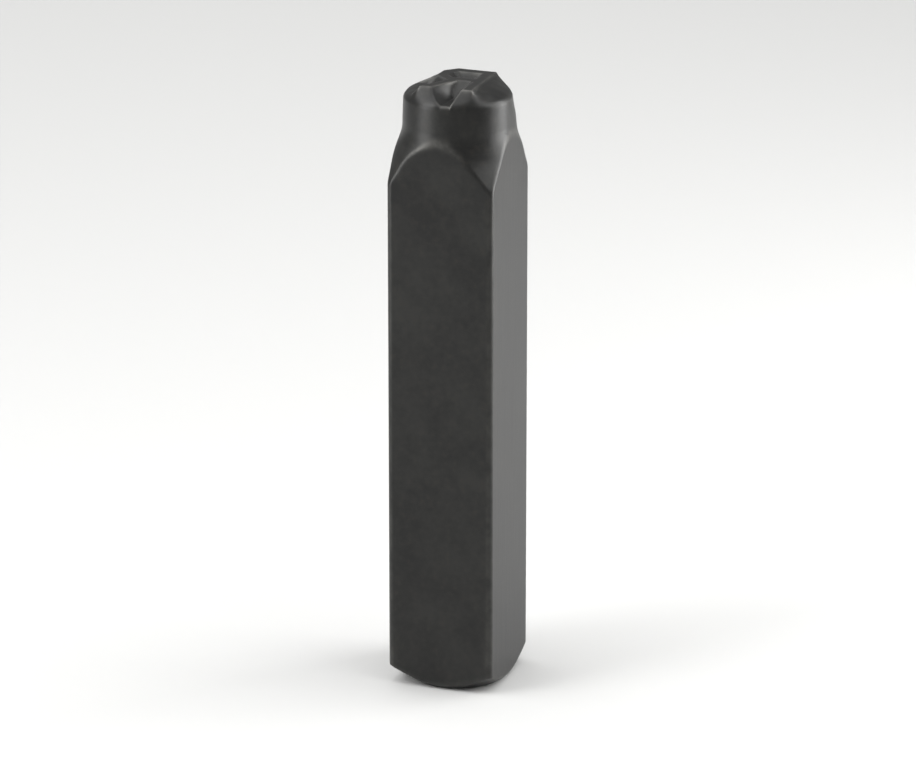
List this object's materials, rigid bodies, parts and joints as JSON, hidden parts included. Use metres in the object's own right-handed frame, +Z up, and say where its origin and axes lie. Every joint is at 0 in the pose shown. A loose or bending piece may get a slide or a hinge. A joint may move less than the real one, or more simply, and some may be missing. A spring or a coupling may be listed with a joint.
{
  "type": "steel letter punch",
  "caption": "Square black steel punch with a round turned working end that carries a raised letter R in mirror image, struck on its plain end with a hammer to stamp the letter into metal.",
  "frame": {"origin": "centre of the flat struck end, on which the punch stands", "axes": "+Z up along the bar to the letter, -Y out of the front flat, where the letter's feet are, +X out of the right flat"},
  "size_m": [0.012, 0.012, 0.068],
  "materials": {
    "black_steel": "satin black oxide over forged and turned steel"
  },
  "bodies": {
    "root": {"letter_punch": "black_steel"}
  },
  "joints": []
}
